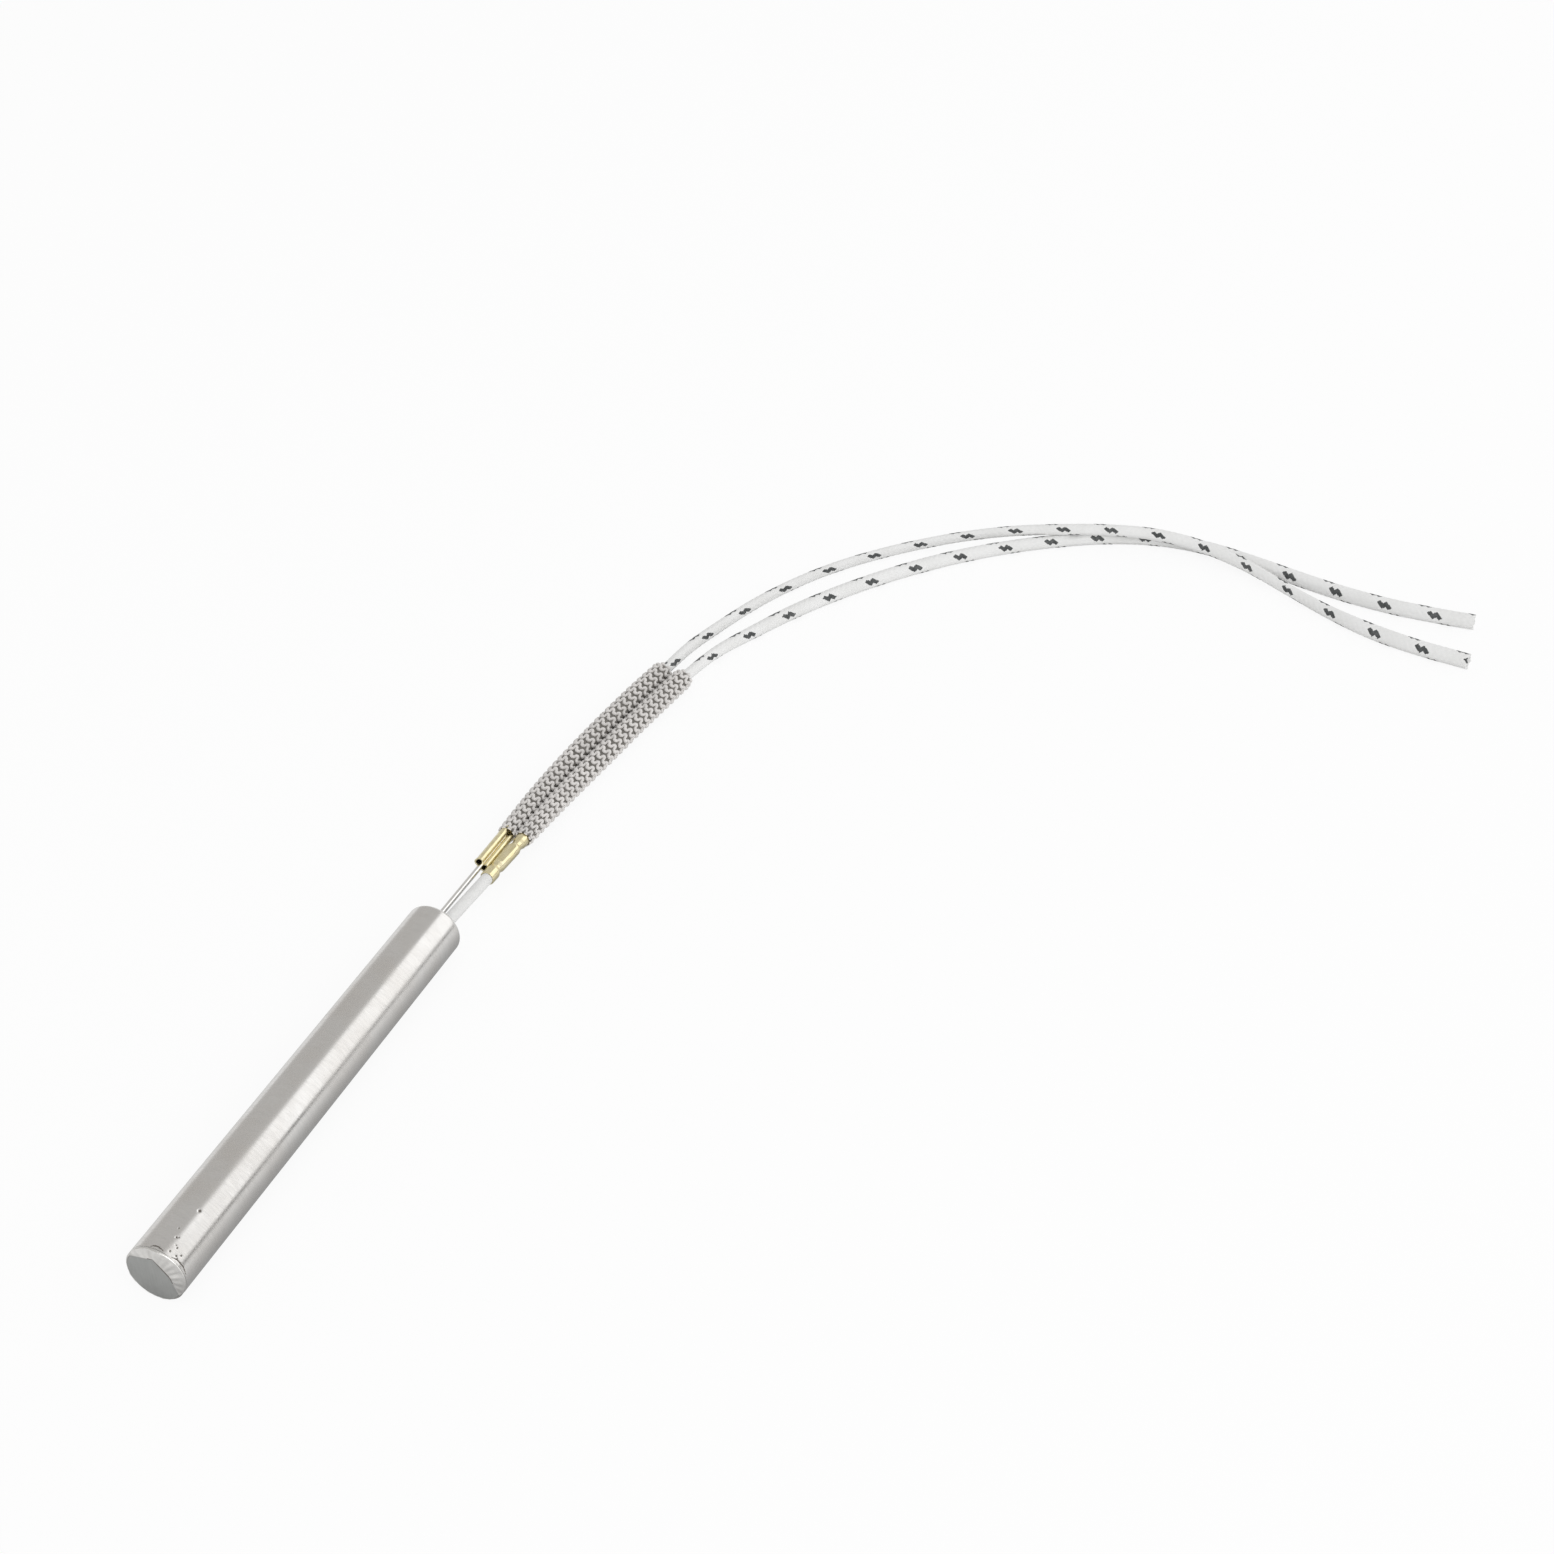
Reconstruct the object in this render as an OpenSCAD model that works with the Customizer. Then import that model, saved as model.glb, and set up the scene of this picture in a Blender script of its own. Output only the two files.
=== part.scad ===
// Cartridge heater with two braided leads, lying on a flat surface.
// The sheath axis is X, the leads leave at +X, Z is up, and the origin is the middle of the sheath.

/* [Sheath] */
// Outside diameter of the sheath
sheath_d = 10; // [9:0.5:14]
// Length from the closed end to the lead end
sheath_l = 85; // [60:5:160]
// Wall thickness of the sheath
sheath_wall = 0.6; // [0.5:0.1:0.7]
// Rounding of the rim rolled in at the lead end
rim_r = 0.9; // [0.8:0.1:1.2]
// Flat left on the rolled rim inside its rounding
rim_flat = 0.1; // [0.1:0.05:0.3]

/* [Closed end] */
// Depth of the weld metal around the end disc
weld_l = 1; // [0.9:0.1:1.4]
// Bevel left on the weld's outer edge
weld_bevel = 0.25; // [0.1:0.05:0.25]
// Depth by which the weld is ground below the sheath's surface
weld_under = 0.06; // [0.04:0.02:0.16]
// Rim of weld metal around the disc's face
weld_rim = 0.3; // [0.3:0.1:0.6]
// Length of the disc's spigot in the sheath
disc_spigot = 1; // [0.6:0.2:2]
// Tilt of the ground facets from the end face
grind_tilt = 17; // [8:1:18]
// Distance of the top facet's edge from the axis
grind_top = 3.4; // [3:0.1:4.2]
// Distance of the side facet's edge from the axis
grind_side = 2.5; // [2.4:0.1:4.2]
// Distance of the lower side facet's edge from the axis
grind_low = 2.8; // [2.6:0.1:4.2]

/* [Inside] */
// Thickness of the insulating wafer behind the end disc
wafer_t = 1.5; // [1:0.25:3]
// Diameter of the ceramic core
core_d = 5.2; // [4.8:0.1:5.6]
// Side of the resistance wire
wire_w = 0.36; // [0.3:0.02:0.4]
// Full turns of the winding
winding_turns = 30; // [16:1:36]
// Diameter of the return wire in the core
return_d = 0.8; // [0.6:0.1:0.9]
// Length of the ceramic plug at the lead end
plug_l = 7.5; // [5:0.5:12]

/* [Pins] */
// Diameter of the terminal pins
pin_d = 1; // [0.8:0.1:1.1]
// Distance between the pins in the plug
pin_pitch = 1.9; // [1.9:0.1:2.1]
// Length of each pin in the core
pin_depth = 12; // [8:1:18]
// Angle by which the pins lean down outside the plug
pin_droop = 3; // [2:0.5:3]
// Angle by which each pin leans outwards
pin_splay = 1.4; // [1.4:0.05:1.7]
// Outside diameter of the insulator on the second pin
insulator_d = 2.2; // [2:0.1:2.3]

/* [Crimps] */
// Distance along the first pin from the plug to its crimp
crimp_a_at = 19.8; // [17:0.2:22]
// Distance along the second pin from the plug to its crimp
crimp_b_at = 16.8; // [15:0.2:18]
// Distance along both pins from the plug to the crimps' upper ends
crimp_end = 30.7; // [30:0.1:32]
// Radius of the rolled lobes of the first crimp
lobe_r = 0.7; // [0.62:0.02:0.72]
// Distance of each lobe's centre from the first crimp's middle
lobe_y = 0.62; // [0.56:0.01:0.63]
// Height of the lobes' centres above the pin's axis
lobe_z = 0.35; // [0.33:0.01:0.37]
// Strip thickness of the first crimp
strip_t = 0.28; // [0.22:0.02:0.3]
// Diameter of the second crimp's belled mouth
bell_d = 2.75; // [2.65:0.05:2.8]
// Diameter of the second crimp's barrel
barrel_d = 2.55; // [2.3:0.05:2.6]
// Depth pressed into the second crimp's barrel
press_t = 0.24; // [0.1:0.02:0.26]

/* [Sleeves] */
// Length of each knitted sleeve
sleeve_l = 60; // [50:1:62]
// Outside diameter of the sleeves along their run
sleeve_d = 4.3; // [4:0.1:4.3]
// Outside diameter of the sleeves at the crimps
mouth_d = 3.3; // [3.3:0.01:3.34]
// Bore of the sleeves over the crimps
mouth_bore = 2.9; // [2.88:0.01:2.92]
// Length of each crimp inside its sleeve
sleeve_lap = 0.9; // [0.5:0.1:2]
// Length of one row of stitches
stitch_l = 2.1; // [1.6:0.1:2.6]
// Depth of the knit's relief
knit_t = 0.18; // [0.06:0.02:0.18]

/* [Leads] */
// Diameter of the leads where the braid is tight
lead_d = 2.2; // [1.8:0.1:2.2]
// Diameter of the leads where the braid is loose
lead_wide_d = 3.2; // [2.4:0.1:3.4]
// Gap between a lead and the bore of its sleeve
lead_gap = 0.08; // [0.04:0.02:0.12]
// Height by which lead a passes over lead b
cross_h = 3.2; // [3.2:0.1:4]

/* [Hidden] */
$fn = 64;
eps = 0.01;
sheath_r = sheath_d / 2;
bore_r = sheath_r - sheath_wall;
lip_r = sheath_r - rim_r - rim_flat;
floor_z = -sheath_r;
closed_x = -sheath_l / 2;
lead_x = sheath_l / 2;
weld_x = closed_x + weld_l;
weld_r = sheath_r - weld_under;
wafer_x = weld_x + disc_spigot;
core_x = wafer_x + wafer_t;
plug_end = lead_x - rim_r;
core_end = plug_end - plug_l;
core_l = core_end - core_x;
core_r = core_d / 2;
pin_r = pin_d / 2;
pin_y = pin_pitch / 2;
pin_in = core_end - pin_depth;
return_r = return_d / 2;

// Facets ground on the closed end: direction around the axis from +Y, and distance of the edge
grinds = [[80, grind_top], [140, grind_side], [161, grind_low]];

// The winding lies between the core and the bore of the fill
wire_gap = 0.03;
turn_steps = 12;
wire_in = (core_r + wire_gap) / cos(180 / turn_steps);
wire_out = wire_in + wire_w;
fill_bore = wire_out + wire_gap;
tail_inset = 0.5;
winding_x = core_x + tail_inset;
winding_l = core_l - 2 * tail_inset;
slot_w = wire_w + 2 * wire_gap;

// Both pins end and both conductors start at the middle of their crimps
join_a = (crimp_a_at + crimp_end) / 2;
join_b = (crimp_b_at + crimp_end) / 2;
insulator_lap = 1.6;
bend_lap = 0.4;
insulator_start = 0.1;

// Lead routes after the straight start: distance past the lead end, side offset, share of the
// crossing height, looseness of the braid from 0 to 1
run_a = [
    [49.5, 2, 0, 0], [59.5, 1.3, 0, 0], [69.5, 0.4, 0, 0], [79.5, -0.7, 0, 0],
    [89, -2.1, 0, 0], [98.8, -3.1, 0, 0.1], [109, -5.4, 0, 0.1], [118.9, -8.6, 0, 0.05],
    [128.4, -12.8, 0, 0], [137.4, -18.1, 0, 0], [145.6, -24.4, 0, 0], [152.9, -31.8, 0.08, 0],
    [158.9, -40.2, 0.3, 0], [163.2, -49.4, 0.63, 0.05], [166.4, -59.1, 0.9, 0.15], [169.8, -69, 0.97, 0.25],
    [172.5, -79, 0.82, 0.4], [172.7, -89.1, 0.57, 0.45], [170.2, -99, 0.36, 0.3], [165.9, -108.8, 0.15, 0.15],
    [161.3, -118.4, 0.03, 0.5], [157.5, -128, 0, 1], [155.4, -137.8, 0, 1], [154.3, -148.1, 0, 1]
];
run_b = [
    [49.5, -2.3, 0, 0], [59.5, -3.3, 0, 0], [69.5, -4.3, 0, 0], [79, -5.5, 0, 0],
    [88.5, -6.8, 0, 0], [99, -8.7, 0, 0.2], [109, -12.5, 0, 0.5], [118.5, -17.1, 0, 0.7],
    [127.7, -22.4, 0, 0.75], [136.5, -28.4, 0, 0.75], [144.8, -35, 0, 0.8], [152.6, -42.3, 0, 0.75],
    [159.7, -50.3, 0, 0.65], [165.9, -58.9, 0, 0.6], [171.2, -68.2, 0, 0.65], [174.6, -78, 0, 0.7],
    [175.4, -88.2, 0, 0.7], [173.7, -98.6, 0, 0.8], [171.1, -109.1, 0, 0.95], [169, -119.5, 0, 1],
    [168.1, -130, 0, 1], [168.4, -140.2, 0, 1], [168.9, -146.5, 0, 1]
];
start_step = 10;
sleeve_runs = 5;
lead_rings = 40;
lead_sides = 8;
knit_sides = 24;
knit_columns = 12;
swell = 34;
shoulder = 1.8;
rest_gap = 0.08;

function lean(side) = [
    cos(pin_droop) * cos(pin_splay), side * cos(pin_droop) * sin(pin_splay), -sin(pin_droop)];
function on_axis(side, s) = [plug_end, side * pin_y, 0] + lean(side) * s;
function lead_at(loose) = lead_d + (lead_wide_d - lead_d) * loose;
function rest_d(i, d) = i < sleeve_runs ? sleeve_d : i == sleeve_runs ? (sleeve_d + d) / 2 : d;

// Points of a route in space, each with the lead's diameter as its fourth value
function with_d(p, d) = [p[0], p[1], p[2], d];
function route(side, run) = concat(
    [for (s = [0, start_step]) with_d(on_axis(side, crimp_end + s), lead_d)],
    [for (i = [0 : len(run) - 1])
        let (q = run[i], d = lead_at(q[3]), z = floor_z + rest_gap + rest_d(i, d) / 2 + cross_h * q[2])
        [lead_x + q[0], q[1], z, d]]);

route_a = route(1, run_a);
route_b = route(-1, run_b);

// Smooth curve through a route, with u counting its points
function knot(p, i) =
    i < 0 ? 2 * p[0] - p[1] :
    i >= len(p) ? 2 * p[len(p) - 1] - p[len(p) - 2] : p[i];
function bend(a, b, c, d, t) =
    0.5 * (2 * b + (c - a) * t + (2 * a - 5 * b + 4 * c - d) * t * t
    + (3 * b - a - 3 * c + d) * t * t * t);
function bend_dir(a, b, c, d, t) =
    0.5 * ((c - a) + 2 * (2 * a - 5 * b + 4 * c - d) * t + 3 * (3 * b - a - 3 * c + d) * t * t);
function span(p, u) = max(0, min(len(p) - 2, floor(u)));
function on_route(p, u) =
    let (i = span(p, u))
    bend(knot(p, i - 1), knot(p, i), knot(p, i + 1), knot(p, i + 2), u - i);
function place(q) = [q[0], q[1], q[2]];
function at(p, u) = place(on_route(p, u));
function dir(p, u) =
    let (i = span(p, u),
        v = place(bend_dir(knot(p, i - 1), knot(p, i), knot(p, i + 1), knot(p, i + 2), u - i)))
    v / norm(v);

// One ring of points around a curve, with a radius for each point
function ring(c, t, radii) =
    let (n = len(radii), s0 = cross([0, 0, 1], t), s = s0 / norm(s0), w = cross(t, s))
    [for (j = [0 : n - 1]) c + radii[j] * (cos(360 * j / n) * s + sin(360 * j / n) * w)];
function even(r, n) = [for (j = [0 : n - 1]) r];

// Faces between successive rings of n points, starting at point k
function skin(n, rings, k) = [
    for (i = [0 : rings - 2], j = [0 : n - 1])
        let (a = k + i * n + j, b = k + i * n + (j + 1) % n)
        each [[a, b + n, b], [a, a + n, b + n]]];
function lid(n, k) = [for (j = [1 : n - 2]) [k, k + j, k + j + 1]];
function turned(faces) = [for (f = faces) [f[2], f[1], f[0]]];

module braided_lead(p, rings, n) {
    points = [
        for (i = [0 : rings - 1])
            let (u = i * (len(p) - 1) / (rings - 1))
            each ring(at(p, u), dir(p, u), even(on_route(p, u)[3] / 2, n))];
    polyhedron(points, concat(
        skin(n, rings, 0), lid(n, 0), turned(lid(n, (rings - 1) * n))));
}

// Distance d along a sleeve from its mouth, as a place and a direction on the route
function sleeve_u(d) = (d - sleeve_lap) / start_step;
function sleeve_c(p, d) =
    d < sleeve_lap ? place(p[0]) - dir(p, 0) * (sleeve_lap - d) : at(p, sleeve_u(d));
function sleeve_t(p, d) = d < sleeve_lap ? dir(p, 0) : dir(p, sleeve_u(d));
function sleeve_r(d) =
    let (g = min(1, d / swell), q = max(0, (d - sleeve_l + shoulder) / shoulder),
        r = mouth_d / 2 + (sleeve_d - mouth_d) / 2 * g * (2 - g),
        e = lead_d / 2 + lead_gap + knit_t)
    e + (r - e) * sqrt(max(0, 1 - q * q));

function column(j) = floor(j * knit_columns / knit_sides);

module knit_sleeve(p) {
    rows = 2 * round(sleeve_l / stitch_l);
    cells = 20;
    outer = [
        for (i = [0 : rows])
            let (d = sleeve_l * i / rows, flush = i == 0 || i == rows ? 0 : 1)
            each ring(sleeve_c(p, d), sleeve_t(p, d),
                [for (j = [0 : knit_sides - 1]) sleeve_r(d) - flush * knit_t * ((i + column(j)) % 2)])];
    inner_at = concat(
        [[0, mouth_bore / 2], [sleeve_lap, mouth_bore / 2]],
        [for (i = [0 : cells])
            [sleeve_lap + (sleeve_l - sleeve_lap) * i / cells, lead_d / 2 + lead_gap]]);
    inner = [
        for (q = inner_at)
            each ring(sleeve_c(p, q[0]), sleeve_t(p, q[0]), even(q[1], knit_sides))];
    n = knit_sides;
    k = len(outer);
    last_o = k - n;
    last_i = k + len(inner) - n;
    polyhedron(concat(outer, inner), concat(
        skin(n, rows + 1, 0),
        turned(skin(n, len(inner_at), k)),
        [for (j = [0 : n - 1]) let (m = (j + 1) % n) each [[j, m, k + m], [j, k + m, k + j]]],
        [for (j = [0 : n - 1]) let (m = (j + 1) % n)
            each [[last_o + m, last_o + j, last_i + m], [last_o + j, last_i + j, last_i + m]]]));
}

module along_x(x) translate([x, 0, 0]) rotate([0, 90, 0]) children();
module on_pin(side, s) translate([plug_end, side * pin_y, 0])
    rotate([0, pin_droop, side * pin_splay]) translate([s, 0, 0]) children();
module rod(r, l) rotate([0, 90, 0]) cylinder(r = r, h = l);
module section(l) rotate([90, 0, 90]) linear_extrude(height = l) children();

// Half spaces beyond the ground facets' edges: straight behind the end face, or along the facets
module beyond_edges(tilt) {
    for (g = grinds)
        translate([closed_x, 0, 0]) rotate([g[0], 0, 0]) translate([0, g[1], 0])
            rotate([0, 0, -tilt]) translate([-sheath_d, 0, -sheath_d])
                cube([sheath_d + (tilt > 0 ? 0 : weld_l), sheath_d, 2 * sheath_d]);
}

module disc_face() {
    difference() {
        along_x(closed_x) cylinder(r = weld_r - weld_rim, h = weld_l);
        beyond_edges(0);
    }
}

module sheath() {
    color("#c9c9c6")
        along_x(weld_x) rotate_extrude() {
            translate([bore_r, 0]) square([sheath_wall, plug_end - weld_x]);
            translate([lip_r, plug_end - weld_x]) square([rim_flat, rim_r]);
            translate([sheath_r - rim_r, plug_end - weld_x]) intersection() {
                circle(r = rim_r);
                square(rim_r);
            }
        }
}

module end_disc() {
    color("#96958f") union() {
        disc_face();
        along_x(weld_x) cylinder(r = bore_r, h = disc_spigot);
    }
}

module end_weld() {
    color("#d6d4ce") difference() {
        union() {
            along_x(closed_x) cylinder(r1 = weld_r - weld_bevel, r2 = weld_r, h = weld_bevel);
            along_x(closed_x + weld_bevel) cylinder(r = weld_r, h = weld_l - weld_bevel);
        }
        disc_face();
        beyond_edges(grind_tilt);
    }
}

module end_insulator() {
    color("#efece2") along_x(wafer_x) cylinder(r = bore_r, h = wafer_t);
}

module ceramic_core() {
    color("#f3efe4") difference() {
        along_x(core_x) cylinder(r = core_r, h = core_l);
        for (side = [-1, 1])
            translate([pin_in, side * pin_y, 0]) rod(pin_r, pin_depth + eps);
        translate([core_x - eps, -pin_y, 0]) rod(return_r, core_l);
        translate([core_x - eps, -core_d, -slot_w / 2])
            cube([tail_inset + slot_w / 2, core_d - pin_y, slot_w]);
        translate([core_end - tail_inset - slot_w / 2, pin_y, -slot_w / 2])
            cube([tail_inset + slot_w, core_d, slot_w]);
    }
}

// One corner ring or tail end of the winding at y, on the side given by its sign
function wire_turn(x, y_in, y_out) = [
    for (c = [[y_in, -1, -1], [y_out, 1, -1], [y_out, 1, 1], [y_in, -1, 1]])
        [x + c[2] * wire_w / 2, c[0], c[1] * wire_w / 2]];

module resistance_winding() {
    steps = turn_steps * winding_turns + turn_steps / 2;
    end_x = winding_x + winding_l;
    y_return = pin_y + return_r;
    y_pin = pin_y + pin_r;
    points = concat(
        wire_turn(winding_x, -y_return, -y_return),
        wire_turn(winding_x, -wire_in, -wire_out),
        [for (i = [1 : steps - 1])
            let (a = 180 + 360 * i / turn_steps, x = winding_x + winding_l * i / steps)
            each [for (c = [[wire_in, -1], [wire_out, -1], [wire_out, 1], [wire_in, 1]])
                [x + c[1] * wire_w / 2, c[0] * cos(a), c[0] * sin(a)]]],
        wire_turn(end_x, wire_in, wire_out),
        wire_turn(end_x, y_pin, y_pin));
    color("#b9a58c") polyhedron(points, concat(
        skin(4, steps + 3, 0), lid(4, 0), turned(lid(4, 4 * (steps + 2)))));
}

module return_wire() {
    color("#b0aca4") translate([core_x, -pin_y, 0]) rod(return_r, pin_in - core_x);
}

module magnesia_fill() {
    color("#fbfaf6") along_x(core_x) difference() {
        cylinder(r = bore_r, h = core_l);
        translate([0, 0, -eps]) cylinder(r = fill_bore, h = core_l + 2 * eps);
    }
}

module lead_end_plug() {
    color("#efe9dc") difference() {
        along_x(core_end) cylinder(r = bore_r, h = plug_l);
        for (side = [-1, 1])
            translate([core_end - eps, side * pin_y, 0]) rod(pin_r, plug_l + 2 * eps);
    }
}

module terminal_pin(side, join) {
    translate([pin_in, side * pin_y, 0]) rod(pin_r, plug_end - pin_in);
    on_pin(side, -bend_lap) rod(pin_r, join + bend_lap);
}

module terminal_pin_a() {
    color("#dedcd6") terminal_pin(1, join_a);
}

module terminal_pin_b() {
    color("#dedcd6") terminal_pin(-1, join_b);
}

module pin_insulator() {
    color("#e6e5e2") on_pin(-1, insulator_start) difference() {
        rod(insulator_d / 2, crimp_b_at + insulator_lap - insulator_start);
        translate([-eps, 0, 0]) rod(pin_r, crimp_b_at + insulator_lap);
    }
}

// Outline of the open-barrel splice, drawn in by t: two rolled lobes on a rounded base under the pin
module splice_outline(t) {
    low_z = lobe_r - strip_t - pin_r;
    for (side = [-1, 1], z = [lobe_z, low_z])
        translate([side * lobe_y, z]) circle(r = lobe_r - t);
    translate([t - lobe_y - lobe_r, low_z]) square([2 * (lobe_y + lobe_r - t), lobe_z - low_z]);
    translate([-lobe_y, low_z - lobe_r + t]) square([2 * lobe_y, lobe_z - low_z + lobe_r - t]);
}

module crimp_a() {
    color("#d8cc96") on_pin(1, crimp_a_at) section(crimp_end - crimp_a_at) difference() {
        splice_outline(0);
        splice_outline(strip_t);
        circle(r = pin_r);
    }
}

module crimp_b() {
    l = crimp_end - crimp_b_at;
    bell = bell_d / 2;
    barrel = barrel_d / 2;
    waist = barrel - press_t;
    lead_in = 0.25;
    bell_l = 2;
    flank = 0.8;
    press_from = bell_l + 1.8;
    neck = l - 3.4;
    neck_l = 0.4;
    edge = 0.12;
    color("#d8cc96") on_pin(-1, crimp_b_at) difference() {
        rotate([0, 90, 0]) rotate_extrude() polygon([
            [0, 0], [bell - edge, 0], [bell, lead_in], [bell, bell_l], [waist, bell_l + flank],
            [barrel, bell_l + 2 * flank], [barrel, neck - flank], [waist, neck], [waist, neck + neck_l],
            [barrel, neck + neck_l + flank], [barrel, l - lead_in], [barrel - edge, l], [0, l]]);
        translate([-eps, 0, 0]) rod(insulator_d / 2, insulator_lap + eps);
        translate([-eps, 0, 0]) rod(pin_r, l + 2 * eps);
        for (z = [waist, -waist - barrel])
            translate([press_from, -barrel, z]) cube([neck - flank - press_from, barrel_d, barrel]);
    }
}

module conductor_a() {
    color("#c4bba6") on_pin(1, join_a) rod(pin_r, crimp_end - join_a);
}

module conductor_b() {
    color("#c4bba6") on_pin(-1, join_b) rod(pin_r, crimp_end - join_b);
}

module sleeve_a() {
    color("#cfcdc8") knit_sleeve(route_a);
}

module sleeve_b() {
    color("#cfcdc8") knit_sleeve(route_b);
}

module lead_a() {
    color("#f4f3f0") braided_lead(route_a, lead_rings, lead_sides);
}

module lead_b() {
    color("#f4f3f0") braided_lead(route_b, lead_rings, lead_sides);
}

sheath();
end_disc();
end_weld();
end_insulator();
ceramic_core();
resistance_winding();
return_wire();
magnesia_fill();
lead_end_plug();
terminal_pin_a();
terminal_pin_b();
pin_insulator();
crimp_a();
crimp_b();
conductor_a();
conductor_b();
sleeve_a();
sleeve_b();
lead_a();
lead_b();
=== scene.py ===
import math
import bpy
import numpy as np
from mathutils import Matrix, Vector


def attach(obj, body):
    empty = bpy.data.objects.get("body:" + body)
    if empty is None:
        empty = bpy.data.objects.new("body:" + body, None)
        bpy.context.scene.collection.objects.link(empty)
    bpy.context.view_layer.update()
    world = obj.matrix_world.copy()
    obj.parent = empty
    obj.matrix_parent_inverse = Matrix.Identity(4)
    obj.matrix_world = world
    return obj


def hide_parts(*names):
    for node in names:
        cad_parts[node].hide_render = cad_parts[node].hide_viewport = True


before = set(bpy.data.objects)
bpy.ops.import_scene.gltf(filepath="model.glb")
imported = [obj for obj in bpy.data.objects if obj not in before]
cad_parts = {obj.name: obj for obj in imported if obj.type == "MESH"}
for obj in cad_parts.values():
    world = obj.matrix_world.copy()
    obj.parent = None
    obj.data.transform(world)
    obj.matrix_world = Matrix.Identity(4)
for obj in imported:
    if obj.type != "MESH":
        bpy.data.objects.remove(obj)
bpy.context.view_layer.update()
mm = 0.001
turn = 2 * math.pi
print("frame loaded:", len(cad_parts), "nodes")

# photograph's view
photoCamera = {
    "place": (-236.66, -181.55, 283.62),
    "aim": (0.731252, 0.308865, -0.608172),
    "lens": 58.313, "sensor": 36, "nearest": 0.01,
}


def placeCamera(c):
    data = bpy.data.cameras.new("photoCamera")
    data.lens = c["lens"]
    data.sensor_width = c["sensor"]
    data.clip_start = c["nearest"]
    obj = bpy.data.objects.new("photoCamera", data)
    obj.location = Vector(c["place"]) * mm
    obj.rotation_euler = Vector(c["aim"]).to_track_quat("-Z", "Y").to_euler()
    bpy.context.collection.objects.link(obj)
    bpy.context.scene.camera = obj


placeCamera(photoCamera)
print("camera placed")


# small helpers for meshes, in millimetres
def addMesh(name, points, faces, materials, pick=None, smooth=True):
    mesh = bpy.data.meshes.new(name)
    mesh.from_pydata((np.asarray(points, float) * mm).tolist(), [], faces)
    for m in materials:
        mesh.materials.append(m)
    mesh.polygons.foreach_set("use_smooth", [smooth] * len(mesh.polygons))
    if pick is not None:
        mesh.polygons.foreach_set("material_index", np.asarray(pick, np.int32))
    mesh.update()
    obj = bpy.data.objects.new(name, mesh)
    bpy.context.collection.objects.link(obj)
    return obj


def gridFaces(rows, sides, start=0, flip=False, loop=False):
    i, j = np.meshgrid(np.arange(rows if loop else rows - 1), np.arange(sides), indexing="ij")
    below, above = i * sides, (i + 1) % rows * sides
    beside = (j + 1) % sides
    quads = start + np.stack([below + j, above + j, above + beside, below + beside], -1).reshape(-1, 4)
    return (quads[:, ::-1] if flip else quads).tolist()


def ringFan(sides, start, centre, flip=False):
    fan = [[start + (j + 1) % sides, start + j, centre] for j in range(sides)]
    return [f[::-1] for f in fan] if flip else fan


def settle(obj, slotName, *nodes):
    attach(obj, "root")
    if nodes:
        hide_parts(*nodes)
    return obj


# lead routes, as in the part: distance past the lead end, side, share of the crossing height, looseness
leadShape = {
    "plugFace": 41.6, "leadEnd": 42.5, "pinSide": 0.95, "droop": 3.0, "splay": 1.4,
    "crimpEnd": 30.7, "startStep": 10.0, "floor": -5.0, "restGap": 0.08,
    "tight": 2.2, "loose": 3.2, "crossing": 3.2, "sleeveWidth": 4.3, "sleeveRuns": 5,
}
leadRun = {
    "a": [
        (49.5, 2, 0, 0), (59.5, 1.3, 0, 0), (69.5, 0.4, 0, 0), (79.5, -0.7, 0, 0), (89, -2.1, 0, 0),
        (98.8, -3.1, 0, 0.1), (109, -5.4, 0, 0.1), (118.9, -8.6, 0, 0.05), (128.4, -12.8, 0, 0),
        (137.4, -18.1, 0, 0), (145.6, -24.4, 0, 0), (152.9, -31.8, 0.08, 0), (158.9, -40.2, 0.3, 0),
        (163.2, -49.4, 0.63, 0.05), (166.4, -59.1, 0.9, 0.15), (169.8, -69, 0.97, 0.25),
        (172.5, -79, 0.82, 0.4), (172.7, -89.1, 0.57, 0.45), (170.2, -99, 0.36, 0.3),
        (165.9, -108.8, 0.15, 0.15), (161.3, -118.4, 0.03, 0.5), (157.5, -128, 0, 1),
        (155.4, -137.8, 0, 1), (154.3, -148.1, 0, 1),
    ],
    "b": [
        (49.5, -2.3, 0, 0), (59.5, -3.3, 0, 0), (69.5, -4.3, 0, 0), (79, -5.5, 0, 0), (88.5, -6.8, 0, 0),
        (99, -8.7, 0, 0.2), (109, -12.5, 0, 0.5), (118.5, -17.1, 0, 0.7), (127.7, -22.4, 0, 0.75),
        (136.5, -28.4, 0, 0.75), (144.8, -35, 0, 0.8), (152.6, -42.3, 0, 0.75), (159.7, -50.3, 0, 0.65),
        (165.9, -58.9, 0, 0.6), (171.2, -68.2, 0, 0.65), (174.6, -78, 0, 0.7), (175.4, -88.2, 0, 0.7),
        (173.7, -98.6, 0, 0.8), (171.1, -109.1, 0, 0.95), (169, -119.5, 0, 1), (168.1, -130, 0, 1),
        (168.4, -140.2, 0, 1), (168.9, -146.5, 0, 1),
    ],
}
pinOf = {"a": 1, "b": -1}


def pinLean(side, s=leadShape):
    d, p = math.radians(s["droop"]), math.radians(s["splay"])
    return np.array([math.cos(d) * math.cos(p), pinOf[side] * math.cos(d) * math.sin(p), -math.sin(d)])


def onPin(side, along, s=leadShape):
    return np.array([s["plugFace"], pinOf[side] * s["pinSide"], 0]) + pinLean(side) * along


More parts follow.
